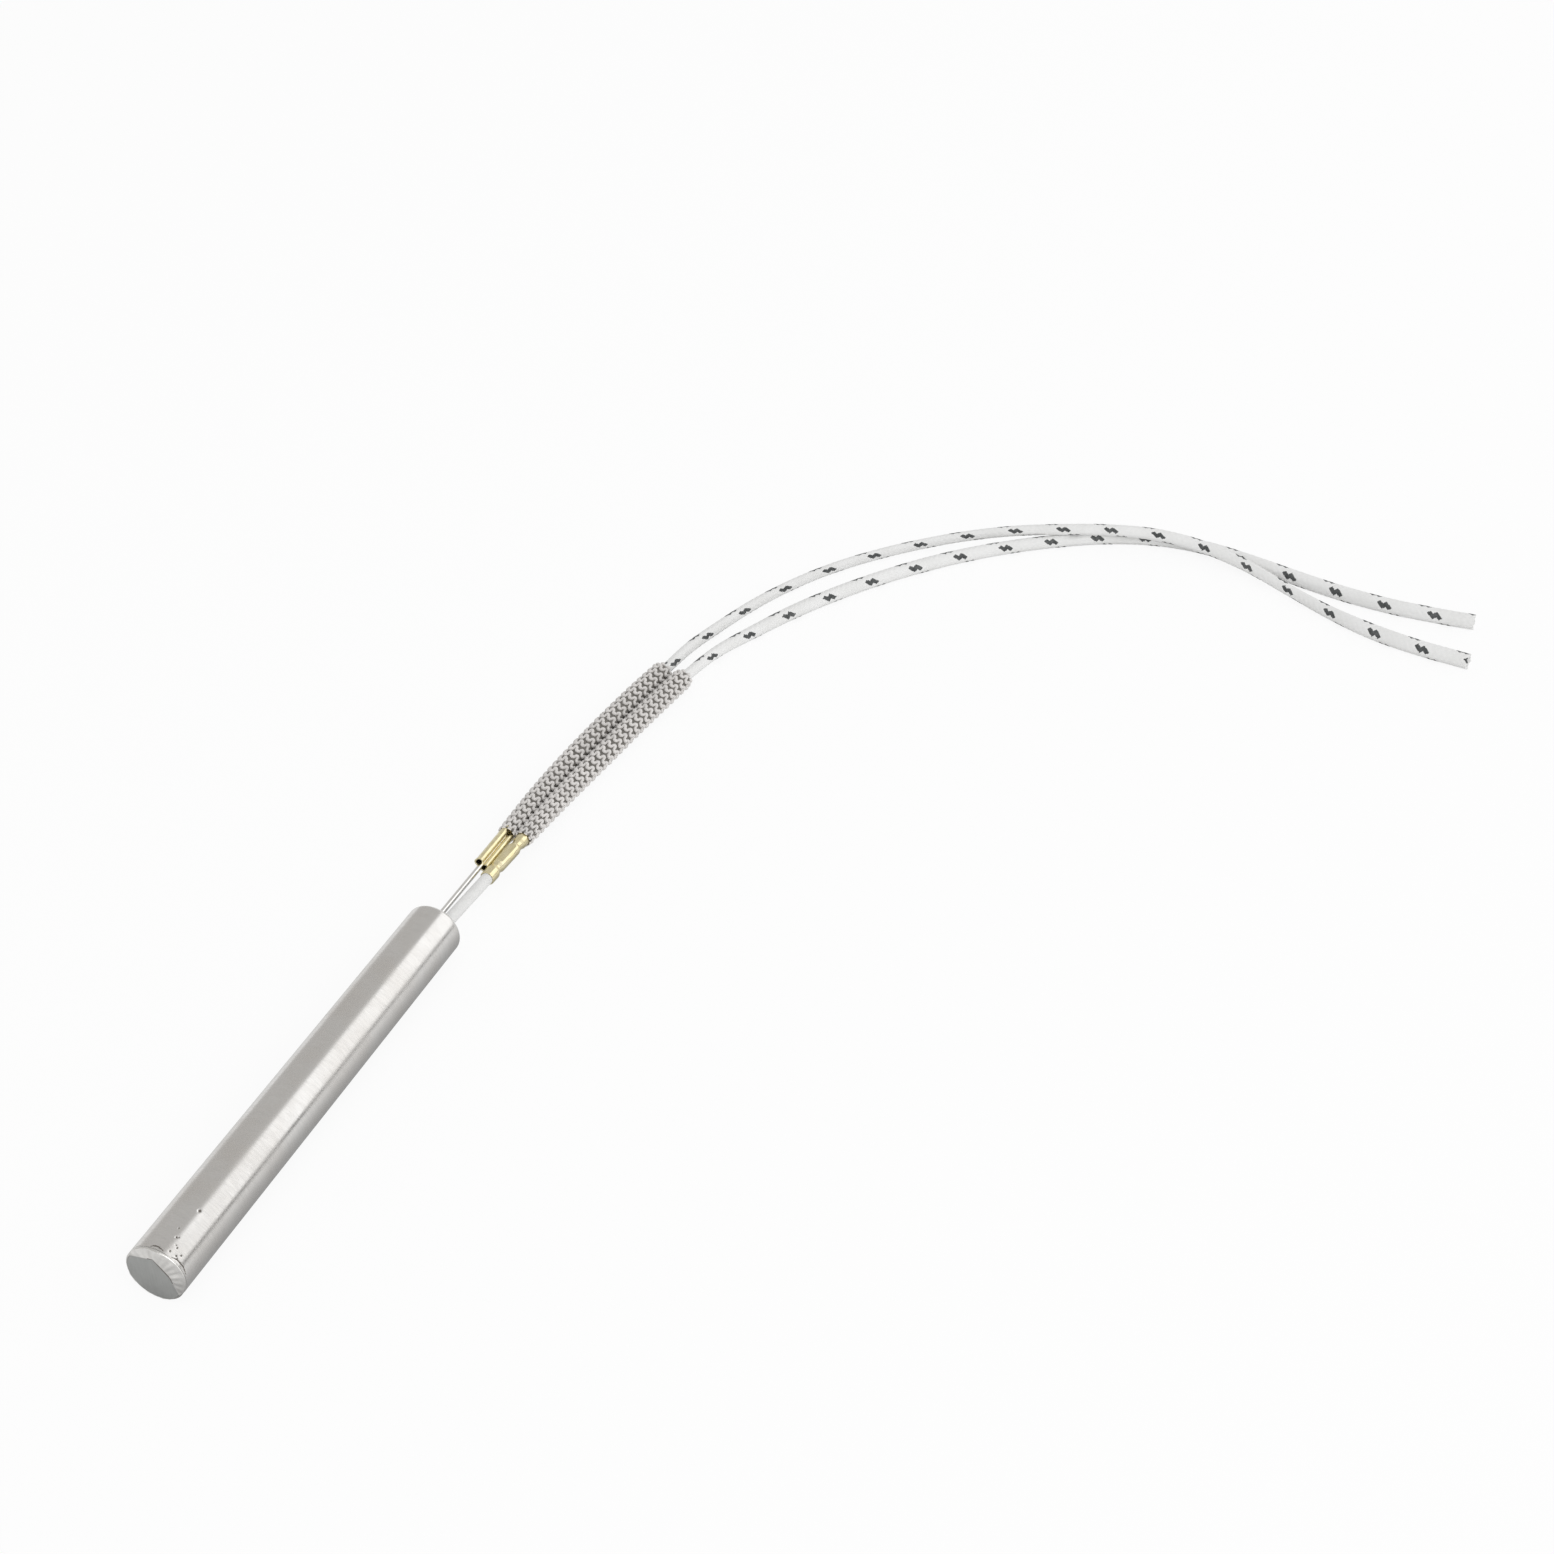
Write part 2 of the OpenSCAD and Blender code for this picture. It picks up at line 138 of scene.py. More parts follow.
# tube along a pin: rows of distance and radii, the section turned by roll from upright
def pinRows(side, at, radii, angles, roll=0.0):
    along = pinLean(side)
    across = np.cross([0, 0, 1], along)
    across /= np.linalg.norm(across)
    up = np.cross(along, across)
    a = np.asarray(angles) + roll
    ring = across * np.cos(a)[:, None] + up * np.sin(a)[:, None]
    centres = onPin(side, 0) + along * np.asarray(at, float)[:, None]
    return (centres[:, None] + ring[None] * np.asarray(radii)[..., None]).reshape(-1, 3)


def leadRoute(side, run, s=leadShape):
    points = [[*onPin(side, s["crimpEnd"] + k), s["tight"]] for k in (0, s["startStep"])]
    for i, (past, across, lift, slack) in enumerate(run):
        d = s["tight"] + (s["loose"] - s["tight"]) * slack
        rest = s["sleeveWidth"] if i < s["sleeveRuns"] else d
        if i == s["sleeveRuns"]:
            rest = (s["sleeveWidth"] + d) / 2
        z = s["floor"] + s["restGap"] + rest / 2 + s["crossing"] * lift
        points.append([s["leadEnd"] + past, across, z, d])
    return np.array(points)


def smoothAt(points, u):
    ends = np.vstack([2 * points[0] - points[1], points, 2 * points[-1] - points[-2]])
    u = np.asarray(u, float)
    i = np.clip(np.floor(u).astype(int), 0, len(points) - 2)
    t = (u - i)[:, None]
    a, b, c, d = (ends[i + k] for k in range(4))
    return 0.5 * (2 * b + (c - a) * t + (2 * a - 5 * b + 4 * c - d) * t ** 2
                  + (3 * b - a - 3 * c + d) * t ** 3)


def frames(line):
    along = np.gradient(line, axis=0)
    along /= np.linalg.norm(along, axis=1)[:, None]
    side = np.cross([0, 0, 1], along)
    side /= np.linalg.norm(side, axis=1)[:, None]
    return along, side, np.cross(along, side)


def evenLine(points, step, samples=6000):
    fine = smoothAt(points, np.linspace(0, len(points) - 1, samples))
    run = np.concatenate([[0], np.cumsum(np.linalg.norm(np.diff(fine[:, :3], axis=0), axis=1))])
    s = np.linspace(0, run[-1], int(run[-1] / step) + 1)
    return s, np.stack([np.interp(s, run, fine[:, k]) for k in range(4)], 1)


route = {side: leadRoute(side, leadRun[side]) for side in "ab"}


# shader node helpers
def addNode(tree, kind, **settings):
    n = tree.nodes.new(kind)
    for key, value in settings.items():
        setattr(n, key, value)
    return n


def feed(tree, target, source):
    if hasattr(source, "is_output"):
        tree.links.new(source, target)
    else:
        target.default_value = source


def mathNode(tree, operation, *values):
    n = addNode(tree, "ShaderNodeMath", operation=operation)
    for k, v in enumerate(values):
        feed(tree, n.inputs[k], v)
    return n.outputs[0]


def noiseNode(tree, vector, scale, detail, rough):
    n = addNode(tree, "ShaderNodeTexNoise")
    feed(tree, n.inputs["Vector"], vector)
    feed(tree, n.inputs["Scale"], scale)
    n.inputs["Detail"].default_value = detail
    n.inputs["Roughness"].default_value = rough
    return n.outputs[0]


def rangeNode(tree, value, low, high, toLow, toHigh):
    n = addNode(tree, "ShaderNodeMapRange")
    keys = ("Value", "From Min", "From Max", "To Min", "To Max")
    for key, v in zip(keys, (value, low, high, toLow, toHigh)):
        feed(tree, n.inputs[key], v)
    return n.outputs[0]


def mixColours(tree, factor, first, second):
    n = addNode(tree, "ShaderNodeMix", data_type="RGBA")
    feed(tree, n.inputs[0], factor)
    for socket, v in ((n.inputs[6], first), (n.inputs[7], second)):
        feed(tree, socket, v if hasattr(v, "is_output") else (*v, 1))
    return n.outputs[2]


def newGroup(name, inputs, outputs):
    g = bpy.data.node_groups.new(name, "ShaderNodeTree")
    for key, value in inputs.items():
        kind = "NodeSocketVector" if isinstance(value, tuple) else "NodeSocketFloat"
        g.interface.new_socket(key, in_out="INPUT", socket_type=kind).default_value = value
    for key in outputs:
        g.interface.new_socket(key, in_out="OUTPUT", socket_type="NodeSocketFloat")
    return g, g.nodes.new("NodeGroupInput"), g.nodes.new("NodeGroupOutput")


def objectPlace(tree):
    return addNode(tree, "ShaderNodeTexCoord").outputs["Object"]


def stretched(tree, vector, scale):
    n = addNode(tree, "ShaderNodeVectorMath", operation="MULTIPLY")
    feed(tree, n.inputs[0], vector)
    feed(tree, n.inputs[1], scale)
    return n.outputs[0]


# lines left by grinding or drawing, stretched by a scale along each axis
def makeToolLines():
    inputs = {"Stretch": (1.0, 1.0, 1.0), "Patch": 90.0}
    g, a, z = newGroup("toolLines", inputs, ("Height", "Tone", "Patches"))
    where = objectPlace(g)
    lines = noiseNode(g, stretched(g, where, a.outputs["Stretch"]), 1.0, 4.0, 0.6)
    patches = noiseNode(g, where, a.outputs["Patch"], 3.0, 0.6)
    g.links.new(lines, z.inputs["Height"])
    g.links.new(rangeNode(g, lines, 0.3, 0.7, 0.0, 1.0), z.inputs["Tone"])
    g.links.new(rangeNode(g, patches, 0.35, 0.68, 0.0, 1.0), z.inputs["Patches"])
    return g


# fine fibres of glass yarn
def makeYarnFibres():
    inputs = {"Fineness": 9000.0, "Patch": 220.0}
    g, a, z = newGroup("yarnFibres", inputs, ("Height", "Tone", "Patches"))
    where = objectPlace(g)
    fibres = noiseNode(g, where, a.outputs["Fineness"], 2.0, 0.6)
    patches = noiseNode(g, where, a.outputs["Patch"], 2.0, 0.5)
    g.links.new(fibres, z.inputs["Height"])
    g.links.new(rangeNode(g, fibres, 0.35, 0.65, 0.0, 1.0), z.inputs["Tone"])
    g.links.new(rangeNode(g, patches, 0.4, 0.65, 0.0, 1.0), z.inputs["Patches"])
    return g


toolLines = makeToolLines()
yarnFibres = makeYarnFibres()


def newMaterial(name):
    m = bpy.data.materials.new(name)
    m.use_nodes = True
    return m, m.node_tree, m.node_tree.nodes["Principled BSDF"]


def placeGroup(tree, group, values):
    n = addNode(tree, "ShaderNodeGroup", node_tree=group)
    for key, v in values.items():
        n.inputs[key].default_value = v
    return n.outputs


def addBump(tree, shader, height, strength, distance):
    n = addNode(tree, "ShaderNodeBump")
    n.inputs["Strength"].default_value = strength
    n.inputs["Distance"].default_value = distance
    tree.links.new(height, n.inputs["Height"])
    tree.links.new(n.outputs["Normal"], shader.inputs["Normal"])


def metalFinish(name, f):
    m, tree, shader = newMaterial(name)
    g = placeGroup(tree, toolLines, {"Stretch": f["stretch"], "Patch": f["patch"]})
    tone = mixColours(tree, g["Patches"], f["colour"], f["tint"])
    shade = mathNode(tree, "MULTIPLY", g["Tone"], f["lineShade"])
    worn = mixColours(tree, shade, tone, f["lineColour"])
    tree.links.new(worn, shader.inputs["Base Color"])
    lines = rangeNode(tree, g["Tone"], 0.0, 1.0, *f["rough"])
    patches = mathNode(tree, "MULTIPLY", g["Patches"], f["patchRough"])
    tree.links.new(mathNode(tree, "ADD", lines, patches), shader.inputs["Roughness"])
    shader.inputs["Metallic"].default_value = f["metallic"]
    addBump(tree, shader, g["Height"], f["bump"], f["depth"])
    return m


def yarnFinish(name, f):
    m, tree, shader = newMaterial(name)
    g = placeGroup(tree, yarnFibres, {"Fineness": f["fineness"], "Patch": f["patch"]})
    tone = mixColours(tree, g["Patches"], f["colour"], f["tint"])
    shade = mathNode(tree, "MULTIPLY", g["Tone"], f["fibreShade"])
    fibre = mixColours(tree, shade, tone, f["fibreColour"])
    tree.links.new(fibre, shader.inputs["Base Color"])
    rough = rangeNode(tree, g["Tone"], 0.0, 1.0, *f["rough"])
    tree.links.new(rough, shader.inputs["Roughness"])
    shader.inputs["Specular IOR Level"].default_value = f["gloss"]
    shader.inputs["Sheen Weight"].default_value = f["sheen"]
    addBump(tree, shader, g["Height"], f["bump"], f["depth"])
    return m


metals = {
    "sheathSteel": dict(
        colour=(0.66, 0.65, 0.635), tint=(0.62, 0.60, 0.575), lineColour=(0.5, 0.49, 0.48),
        stretch=(3200, 500, 500), patch=130, lineShade=0.3, rough=(0.14, 0.24), patchRough=0.1,
        metallic=1.0, bump=0.4, depth=0.00003),
    # painted shade: dark colour for the pits, the scratches and the weld's edge next to the disc
    "paintedRecessShade": dict(
        colour=(0.13, 0.115, 0.1), tint=(0.2, 0.18, 0.16), lineColour=(0.06, 0.055, 0.05),
        stretch=(3000, 3000, 3000), patch=900, lineShade=0.4, rough=(0.5, 0.7), patchRough=0.1,
        metallic=0.4, bump=0.3, depth=0.00003),
    "weldSteel": dict(
        colour=(0.74, 0.73, 0.71), tint=(0.64, 0.63, 0.61), lineColour=(0.5, 0.49, 0.47),
        stretch=(900, 1500, 1500), patch=420, lineShade=0.4, rough=(0.22, 0.36), patchRough=0.12,
        metallic=1.0, bump=0.8, depth=0.00008),
    "discSteel": dict(
        colour=(0.39, 0.395, 0.385), tint=(0.43, 0.435, 0.425), lineColour=(0.32, 0.325, 0.315),
        stretch=(300, 2600, 240), patch=420, lineShade=0.35, rough=(0.55, 0.66), patchRough=0.08,
        metallic=0.6, bump=0.3, depth=0.00002),
    "pinNickel": dict(
        colour=(0.8, 0.79, 0.77), tint=(0.72, 0.71, 0.69), lineColour=(0.55, 0.54, 0.52),
        stretch=(120, 4000, 4000), patch=500, lineShade=0.3, rough=(0.08, 0.16), patchRough=0.06,
        metallic=1.0, bump=0.2, depth=0.00001),
    "crimpBrass": dict(
        colour=(0.80, 0.715, 0.44), tint=(0.85, 0.78, 0.55), lineColour=(0.5, 0.42, 0.2),
        stretch=(500, 2600, 2600), patch=700, lineShade=0.35, rough=(0.16, 0.28), patchRough=0.08,
        metallic=1.0, bump=0.35, depth=0.00002),
    # the strand ends are coloured dark grey
    "darkStrandEnds": dict(
        colour=(0.2, 0.19, 0.18), tint=(0.28, 0.26, 0.24), lineColour=(0.1, 0.1, 0.1),
        stretch=(2500, 2500, 2500), patch=900, lineShade=0.4, rough=(0.3, 0.45), patchRough=0.1,
        metallic=0.9, bump=0.3, depth=0.00001),
    "resistanceAlloy": dict(
        colour=(0.42, 0.38, 0.33), tint=(0.36, 0.32, 0.28), lineColour=(0.25, 0.22, 0.2),
        stretch=(2500, 900, 900), patch=600, lineShade=0.3, rough=(0.3, 0.45), patchRough=0.1,
        metallic=1.0, bump=0.2, depth=0.00001),
}
yarns = {
    "leadYarn": dict(
        colour=(0.86, 0.86, 0.855), tint=(0.82, 0.82, 0.81), fibreColour=(0.72, 0.72, 0.71),
        fineness=7000, patch=180, fibreShade=0.35, rough=(0.55, 0.75), gloss=0.35, sheen=0.1,
        bump=0.35, depth=0.00004),
    "tracerYarn": dict(
        colour=(0.07, 0.075, 0.075), tint=(0.13, 0.135, 0.135), fibreColour=(0.03, 0.032, 0.034),
        fineness=7000, patch=900, fibreShade=0.5, rough=(0.55, 0.75), gloss=0.3, sheen=0.1,
        bump=0.35, depth=0.00004),
    "knitYarn": dict(
        colour=(0.80, 0.775, 0.755), tint=(0.71, 0.69, 0.67), fibreColour=(0.48, 0.46, 0.44),
        fineness=6500, patch=300, fibreShade=0.4, rough=(0.5, 0.7), gloss=0.4, sheen=0.1,
        bump=0.4, depth=0.00005),
    # painted shade: dark colour of the tube under the loops, standing in for the shade between them
    "knitPaintedShade": dict(
        colour=(0.19, 0.18, 0.165), tint=(0.24, 0.225, 0.21), fibreColour=(0.1, 0.095, 0.085),
        fineness=5000, patch=300, fibreShade=0.5, rough=(0.7, 0.85), gloss=0.2, sheen=0.0,
        bump=0.3, depth=0.00003),
    "pinSleeve": dict(
        colour=(0.83, 0.83, 0.82), tint=(0.78, 0.78, 0.77), fibreColour=(0.6, 0.6, 0.59),
        fineness=6000, patch=900, fibreShade=0.4, rough=(0.6, 0.8), gloss=0.3, sheen=0.05,
        bump=0.4, depth=0.00004),
    "ceramic": dict(
        colour=(0.78, 0.76, 0.7), tint=(0.72, 0.7, 0.64), fibreColour=(0.6, 0.58, 0.53),
        fineness=3500, patch=300, fibreShade=0.4, rough=(0.7, 0.85), gloss=0.3, sheen=0.0,
        bump=0.3, depth=0.00004),
}
finish = {name: metalFinish(name, f) for name, f in metals.items()}
finish.update({name: yarnFinish(name, f) for name, f in yarns.items()})
print("finishes made:", len(finish))


# height of a two-way braid, each yarn over two and under two, and where a tracer yarn is on top
def braidRelief(phaseOne, phaseTwo, yarnsEachWay, swing, tracers=(), narrow=1.9):
    c1, c2 = phaseOne * yarnsEachWay / turn, phaseTwo * yarnsEachWay / turn
    n1, n2 = np.round(c1), np.round(c2)
    crown1 = np.sqrt(np.clip(1 - (narrow * (c1 - n1)) ** 2, 0, 1))
    crown2 = np.sqrt(np.clip(1 - (narrow * (c2 - n2)) ** 2, 0, 1))
    h1 = crown1 + swing * np.cos(turn / 4 * (c2 + n1 - 0.5))
    h2 = crown2 - swing * np.cos(turn / 4 * (c1 + n2 - 0.5))
    marked = np.isin(n1.astype(int) % yarnsEachWay, tracers)
    return np.maximum(h1, h2), (h1 >= h2) & marked


braid = {
    "yarnsEachWay": 8, "sides": 60, "step": 0.16, "depth": 0.13, "swing": 0.8, "tracers": (0, 1),
    "weave": -1.6, "facing": 2.1, "recess": 0.9, "wall": 0.42, "lipShare": 0.5,
    "fray": 0.22, "frayWaves": (7, 3), "frayTurn": 1.3,
}
leadTracer = {  # a distance at which the tracer faces up, then distance and pitch of its turns
    "a": {
        "mark": 73.8,
        "pitch": [(80, 12.1), (104, 11.9), (122, 10.9), (148, 10.4), (168, 10.0), (199, 10.5),
                  (221, 11.2), (242, 10.0)],
    },
    "b": {
        "mark": 66.9,
        "pitch": [(73, 11.2), (85, 10.7), (127, 10.8), (148, 10.3), (173, 10.1), (200, 12.0),
                  (212, 10.2), (232, 10.2)],
    },
}


def tracerTurn(s, t, facing):
    at, pitch = zip(*t["pitch"])
    turned = np.concatenate([[0], np.cumsum(turn * np.diff(s) / np.interp(s[1:], at, pitch))])
    return turned - np.interp(t["mark"], s, turned) + facing


def braidedLead(name, side, b=braid):
    s, line = evenLine(route[side], b["step"])
    centre, radius = line[:, :3], line[:, 3] / 2
    along, left, up = frames(centre)
    lay = tracerTurn(s, leadTracer[side], b["facing"])[:, None]
    angle = (np.arange(b["sides"]) * turn / b["sides"])[None, :]
    other = angle + lay + b["weave"]
    height, marked = braidRelief(angle - lay, other, b["yarnsEachWay"], b["swing"], b["tracers"])
    peak = 1 + b["swing"]
    r = radius[:, None] + b["depth"] * (height / peak - 1)
    ring = left[:, None, :] * np.cos(angle)[..., None] + up[:, None, :] * np.sin(angle)[..., None]
    points = centre[:, None, :] + ring * r[..., None]
    first, second = b["frayWaves"]
    frayed = b["fray"] * np.sin(angle[0] * first + b["frayTurn"]) * np.sin(angle[0] * second)
    points[-1] += along[-1] * frayed[:, None]
    rows, sides = r.shape
    bore = radius[-1] - b["wall"]
    lip = centre[-1] + ring[-1] * bore + along[-1] * frayed[:, None] * b["lipShare"]
    sunk = centre[-1] - along[-1] * b["recess"]
    points = np.concatenate([points.reshape(-1, 3), lip, sunk + ring[-1] * bore, [centre[0]], [sunk]])
    faces = gridFaces(rows, sides, flip=True)
    dark = marked[:-1].reshape(-1).astype(int).tolist()
    faces += gridFaces(3, sides, start=(rows - 1) * sides, flip=True)
    nearEnd = (rows + 2) * sides
    faces += ringFan(sides, 0, nearEnd)
    faces += ringFan(sides, nearEnd - sides, nearEnd + 1, flip=True)
    dark += [0] * (len(faces) - len(dark))
    obj = addMesh(name, points, faces, [finish["leadYarn"], finish["tracerYarn"]], dark)
    settle(obj, "lead_braid", "lead_" + side)
    return obj, centre, s[-1]


strand = {
    "radius": 0.2, "ring": 0.52, "count": 6, "spin": 0.3, "sides": 10, "tail": 0.2, "tailRows": 40,
    "out": 0.35, "sunk": 0.4, "unequal": (2.1, 0.5),
    "rings": ((1.3, 1.0), (0.06, 1.0), (0.0, 0.6)),  # distance behind the tip, share of the radius
}


def strandEnds(name, side, s=strand):
    points = route[side]
    last = len(points) - 1
    line = smoothAt(points, np.linspace(last - s["tail"], last, s["tailRows"]))[:, :3]
    along, left, up = (v[-1] for v in frames(line))
    tip = line[-1]
    spread = [k * turn / s["count"] + s["spin"] for k in range(s["count"])]
    spots = [(0.0, 0.0)] + [(s["ring"] * math.cos(a), s["ring"] * math.sin(a)) for a in spread]
    rate, shift = s["unequal"]
    verts, faces = [], []
    for k, (u, v) in enumerate(spots):
        reach = s["out"] * math.sin(rate * k + shift) - s["sunk"]
        for back, size in s["rings"]:
            for j in range(s["sides"]):
                a = j * turn / s["sides"]
                across = u + s["radius"] * size * math.cos(a)
                high = v + s["radius"] * size * math.sin(a)
                spot = left * across + up * high
                verts.append(tip + spot + along * (reach - back))
        start = k * len(s["rings"]) * s["sides"]
        faces += gridFaces(3, s["sides"], start=start, flip=True)
        faces.append([start + j for j in range(s["sides"])][::-1])
        faces.append([start + 2 * s["sides"] + j for j in range(s["sides"])])
    # the strand ends take a dark grey colour
    obj = addMesh(name, verts, faces, [finish["darkStrandEnds"]])
    return settle(obj, "conductor_nickel")


leads = {}
for side in "ab":
    obj, line, length = braidedLead("lead" + side.upper(), side)
    leads[side] = (obj, line, length)
    print("lead", side, "length", round(length, 1), "faces", len(obj.data.polygons))


# knitted sleeve: each course is one ring of yarn, looped through the next, over a dark tube of painted
# shade
knit = {
    "length": 60.0, "swell": 40.0, "shoulder": 0.8, "endShare": 0.85, "lap": 0.9, "mouthRound": 0.14,
    "mouth": {"a": 3.7, "b": 3.5}, "width": {"a": 4.65, "b": 4.5}, "mouthBore": 1.42, "bore": 1.16,
    "wales": 8, "course": 1.92, "loop": 0.735, "lean": 0.12, "legShare": 0.42, "samples": 28, "sides": 8,
    "yarn": 0.36, "yarnShare": 2.2, "thinYarn": 0.18,
    "relief": 0.24, "reliefShare": 4.4, "thinRelief": 0.03, "endGaps": (0.12, 0.1),
    "shadeTubeSides": 40, "shadeTubeRows": 90, "shadeTubeWall": 0.1, "shadeTubeDepth": 1.55, "shadeTubeGaps": (0.25, 0.15),
    "meetGap": 0.02, "tableRows": 600,
}


def sleeveRadius(d, side, k=knit):
    g = np.minimum(1, d / k["swell"])
    q = np.clip((d - k["length"] + k["shoulder"]) / k["shoulder"], 0, 1)
    full = k["mouth"][side] / 2 + (k["width"][side] - k["mouth"][side]) / 2 * g * (2 - g)
    full = full - k["mouthRound"] * np.maximum(0, 1 - d / k["lap"]) ** 2
    return full * (k["endShare"] + (1 - k["endShare"]) * np.sqrt(1 - q * q))


def sleeveBore(d, k=knit):
    return np.where(d < k["lap"], k["mouthBore"], k["bore"])


# yarn radius and relief that the wall has room for
def yarnSize(d, side, k=knit):
    wall = sleeveRadius(d, side) - sleeveBore(d)
    yarn = np.clip(wall / k["yarnShare"], k["thinYarn"], k["yarn"])
    return yarn, np.clip(wall / k["reliefShare"], k["thinRelief"], k["relief"])


def sleeveTable(side, k=knit):
    d = np.linspace(0, k["length"], k["tableRows"])
    line = smoothAt(route[side], np.maximum(0, d - k["lap"]) / leadShape["startStep"])[:, :3]
    line = line - pinLean(side) * np.maximum(0, k["lap"] - d)[:, None]
    return d, line, frames(line)


def onSleeve(table, d, angle, r):
    places, line, (_, left, up) = table

    def at(rows):
        return np.stack([np.interp(d, places, rows[:, i]) for i in range(3)], -1)

    out = at(left) * np.cos(angle)[..., None] + at(up) * np.sin(angle)[..., None]
    return at(line) + out * r[..., None], out


def yarnTube(line, out, radius, sides):
    run = np.roll(line, -1, 0) - np.roll(line, 1, 0)
    run /= np.linalg.norm(run, axis=1)[:, None]
    across = np.cross(run, out)
    across /= np.linalg.norm(across, axis=1)[:, None]
    outward = np.cross(across, run)
    around = (np.arange(sides) * turn / sides)[None, :, None]
    ring = across[:, None] * np.cos(around) + outward[:, None] * np.sin(around)
    return (line[:, None] + radius[:, None, None] * ring).reshape(-1, 3)


# the two sleeves are pressed flat where they meet, and rest on the floor
def pressed(points, side, k=knit):
    first, second = (sleeveTable(other)[1] for other in "ab")
    between = (first + second) / 2
    past = points[:, 1] - np.interp(points[:, 0], between[:, 0], between[:, 1])
    push = np.maximum(0, k["meetGap"] - pinOf[side] * past)
    points[:, 1] += pinOf[side] * push
    points[:, 2] = np.maximum(points[:, 2], leadShape["floor"] + k["meetGap"])
    return points


def knittedSleeve(name, side, k=knit):
    table = sleeveTable(side)
    t = np.arange(k["wales"] * k["samples"]) * turn / k["samples"]
    angle = (t / turn + k["lean"] * np.sin(2 * t)) * turn / k["wales"]
    rows, verts, faces, start = len(t), [], [], 0
    courses = int(round(k["length"] / k["course"])) + 1
    near, far = k["endGaps"]
    for i in range(courses):
        d = np.clip((i + k["loop"] * np.cos(t)) * k["course"], near, k["length"] - far)
        yarn, relief = yarnSize(d, side)
        r = sleeveRadius(d, side) - yarn - relief * (1 - np.cos(2 * t))
        line, out = onSleeve(table, d, angle, r)
        thick = yarn * (1 - (1 - k["legShare"]) * np.sin(t) ** 2)
        verts.append(yarnTube(line, out, thick, k["sides"]))
        faces += gridFaces(rows, k["sides"], start, loop=True)
        start += rows * k["sides"]
    pick = [0] * len(faces)
    # a dark tube under the loops: painted shade for the gaps between them
    near, far = k["shadeTubeGaps"]
    d = np.linspace(near, k["length"] - far, k["shadeTubeRows"])
    yarn = yarnSize(d, side)[0]
    inner = sleeveBore(d)
    outer = np.maximum(inner + k["shadeTubeWall"], sleeveRadius(d, side) - k["shadeTubeDepth"] * yarn)
    d, r = np.concatenate([d, d[::-1]]), np.concatenate([outer, inner[::-1]])
    spin = np.arange(k["shadeTubeSides"]) * turn / k["shadeTubeSides"]
    at, radii = (np.repeat(v[:, None], len(spin), 1) for v in (d, r))
    shadeTube, _ = onSleeve(table, at, np.repeat(spin[None], len(d), 0), radii)
    verts.append(shadeTube.reshape(-1, 3))
    faces += gridFaces(len(d), len(spin), start, flip=True, loop=True)
    pick += [1] * (len(faces) - len(pick))
    points = pressed(np.concatenate(verts), side)
    obj = addMesh(name, points, faces, [finish["knitYarn"], finish["knitPaintedShade"]], pick)
    return settle(obj, "sleeve_glass", "sleeve_" + side)


for side in "ab":
    sleeve = knittedSleeve("sleeve" + side.upper(), side)
    ends = strandEnds("strandEnds" + side.upper(), side)
    obj, line, length = leads[side]
    print("sleeve", side, "faces", len(sleeve.data.polygons))


# sheath with a rolled rim and the pits near its closed end
sheathTube = {
    "from": -41.5, "rimFrom": 41.6, "radius": 5.0, "bore": 4.4, "rim": 0.9, "lip": 4.0, "edge": 0.012,
    "sides": 288, "fineTo": -30.0, "fineStep": 0.1, "step": 1.0, "rimSteps": 12,
    "pits": [  # place along the axis, angle from +Y, radius
        (-32.4, 113, 0.24), (-36.7, 104, 0.13), (-38.2, 111, 0.17), (-38.0, 114, 0.12),
        (-39.6, 123, 0.16), (-40.7, 117, 0.14), (-40.7, 130.5, 0.17), (-40.1, 137, 0.14),
        (-39.3, 119, 0.11), (-40.9, 134, 0.13),
    ],
    "scratches": [  # three places along the axis and angles that an arc runs through, and its width
        ((-41.42, 84), (-41.05, 93), (-41.3, 108), 0.13),
        ((-41.4, 126), (-41.0, 143), (-41.35, 168), 0.12),
    ],
    "pitDepth": 0.08, "scratchDepth": 0.05, "scratchPoints": 90, "scratchEnds": 0.35, "darkShare": 0.9,
}


# marks in the sheath's surface: place along the axis, angle around it, width and depth
def sheathMarks(s=sheathTube):
    marks = [(x, angle, width, s["pitDepth"]) for x, angle, width in s["pits"]]
    for first, middle, last, width in s["scratches"]:
        for t in np.linspace(0, 1, s["scratchPoints"]):
            a, b, c = 2 * (t - 0.5) * (t - 1), 4 * t * (1 - t), 2 * t * (t - 0.5)
            x, angle = (a * first[i] + b * middle[i] + c * last[i] for i in range(2))
            taper = s["scratchEnds"] + (1 - s["scratchEnds"]) * math.sin(math.pi * t)
            marks.append((x, angle, width * taper, s["scratchDepth"]))
    return marks


